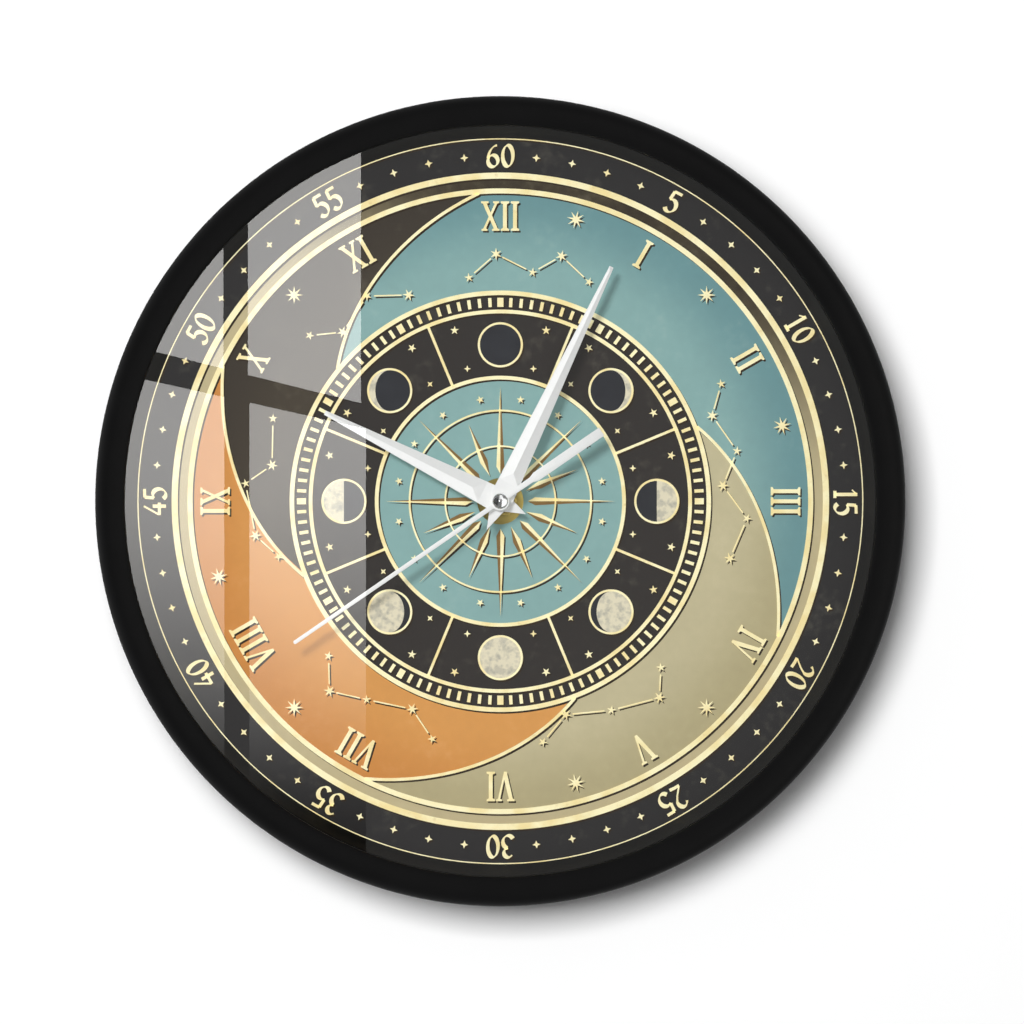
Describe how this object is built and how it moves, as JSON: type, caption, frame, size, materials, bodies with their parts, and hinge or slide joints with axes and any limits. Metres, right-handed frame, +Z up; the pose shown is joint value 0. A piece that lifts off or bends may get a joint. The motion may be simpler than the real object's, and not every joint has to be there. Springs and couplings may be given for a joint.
{
  "type": "astronomical wall clock",
  "caption": "Round glazed wall clock with a black rim, a printed astronomical dial, white hour, minute and second hands and a geared quartz movement, hung on a keyhole plate.",
  "frame": {"origin": "where the axis of the hands meets the wall, on the plane of the rim's rear edge", "axes": "+Z up towards the twelve, +X to the right seen from the front, +Y into the wall; the dial faces -Y"},
  "size_m": [0.3, 0.04, 0.3],
  "materials": {
    "rim_black": "satin",
    "lens_glass": "polished",
    "charcoal_plastic": "matte",
    "printed_board": "matte",
    "shell_black": "matte",
    "zinc_steel": "satin",
    "hub_chrome": "polished",
    "brass": "satin",
    "white_hands": "satin",
    "black_rubber": "matte",
    "movement_black": "matte",
    "white_nylon": "satin",
    "red_nylon": "satin",
    "copper_wire": "satin",
    "ferrite": "matte",
    "circuit_resin": "satin",
    "cell_wrap": "gloss"
  },
  "bodies": {
    "case": {"frame_rim": "rim_black", "glass_lens": "lens_glass", "spacer_ring": "charcoal_plastic", "dial_plate": "printed_board", "retaining_ring": "charcoal_plastic", "back_plate": "shell_black", "back_screw_1": "zinc_steel", "back_screw_2": "zinc_steel", "back_screw_3": "zinc_steel", "back_screw_4": "zinc_steel", "back_screw_5": "zinc_steel", "back_screw_6": "zinc_steel", "hanger_plate": "zinc_steel", "hanger_screw_left": "zinc_steel", "hanger_screw_right": "zinc_steel", "movement_case": "movement_black", "movement_cover": "movement_black", "threaded_bushing": "brass", "rubber_washer": "black_rubber", "dial_washer": "brass", "hex_nut": "brass", "contact_positive": "zinc_steel", "contact_negative": "zinc_steel", "circuit_board": "circuit_resin", "quartz_crystal": "zinc_steel", "stator": "zinc_steel", "coil_core": "zinc_steel", "coil_bobbin": "white_nylon", "coil_winding": "copper_wire"},
    "second_hand_body": {"second_hand": "white_hands", "hub_cap": "hub_chrome", "second_wheel": "white_nylon"},
    "intermediate_body": {"intermediate_wheel": "white_nylon"},
    "rotor_body": {"rotor": "white_nylon", "rotor_magnet": "ferrite"},
    "third_body": {"third_wheel": "white_nylon"},
    "center_body": {"center_wheel": "white_nylon"},
    "minute_hand_body": {"minute_hand": "white_hands", "cannon_pinion": "brass", "clutch_spring": "brass"},
    "works_body": {"works_wheel": "white_nylon", "setting_knob": "red_nylon"},
    "hour_hand_body": {"hour_hand": "white_hands", "hour_wheel": "white_nylon"},
    "battery_body": {"battery": "cell_wrap"}
  },
  "joints": [
    {"name": "second_hand_spin", "type": "hinge", "parent": "case", "child": "second_hand_body", "pos_m": [0, 0, 0], "axis": [0, 1, 0], "continuous": true},
    {"name": "intermediate_spin", "type": "hinge", "parent": "case", "child": "intermediate_body", "pos_m": [0.00827, 0, -0.00146], "axis": [0, 1, 0], "continuous": true},
    {"name": "rotor_spin", "type": "hinge", "parent": "case", "child": "rotor_body", "pos_m": [0.01401, 0, -0.00547], "axis": [0, 1, 0], "continuous": true},
    {"name": "third_spin", "type": "hinge", "parent": "case", "child": "third_body", "pos_m": [-0.00764, 0, 0.00764], "axis": [0, 1, 0], "continuous": true},
    {"name": "center_spin", "type": "hinge", "parent": "case", "child": "center_body", "pos_m": [0, 0, 0], "axis": [0, 1, 0], "continuous": true},
    {"name": "minute_hand_spin", "type": "hinge", "parent": "case", "child": "minute_hand_body", "pos_m": [0, 0, 0], "axis": [0, 1, 0], "continuous": true},
    {"name": "works_spin", "type": "hinge", "parent": "case", "child": "works_body", "pos_m": [0.00557, 0, 0.00965], "axis": [0, 1, 0], "continuous": true},
    {"name": "hour_hand_spin", "type": "hinge", "parent": "case", "child": "hour_hand_body", "pos_m": [0, 0, 0], "axis": [0, 1, 0], "continuous": true},
    {"name": "battery_slide", "type": "slide", "parent": "case", "child": "battery_body", "axis": [0, 1, 0], "range_m": [0, 0.02]}
  ],
  "couplings": [
    {"joint": "intermediate_spin", "follows": "second_hand_spin", "ratio": -5},
    {"joint": "rotor_spin", "follows": "second_hand_spin", "ratio": 30},
    {"joint": "third_spin", "follows": "second_hand_spin", "ratio": -0.13333},
    {"joint": "center_spin", "follows": "second_hand_spin", "ratio": 0.016667},
    {"joint": "works_spin", "follows": "minute_hand_spin", "ratio": -0.33333},
    {"joint": "hour_hand_spin", "follows": "minute_hand_spin", "ratio": 0.083333}
  ]
}
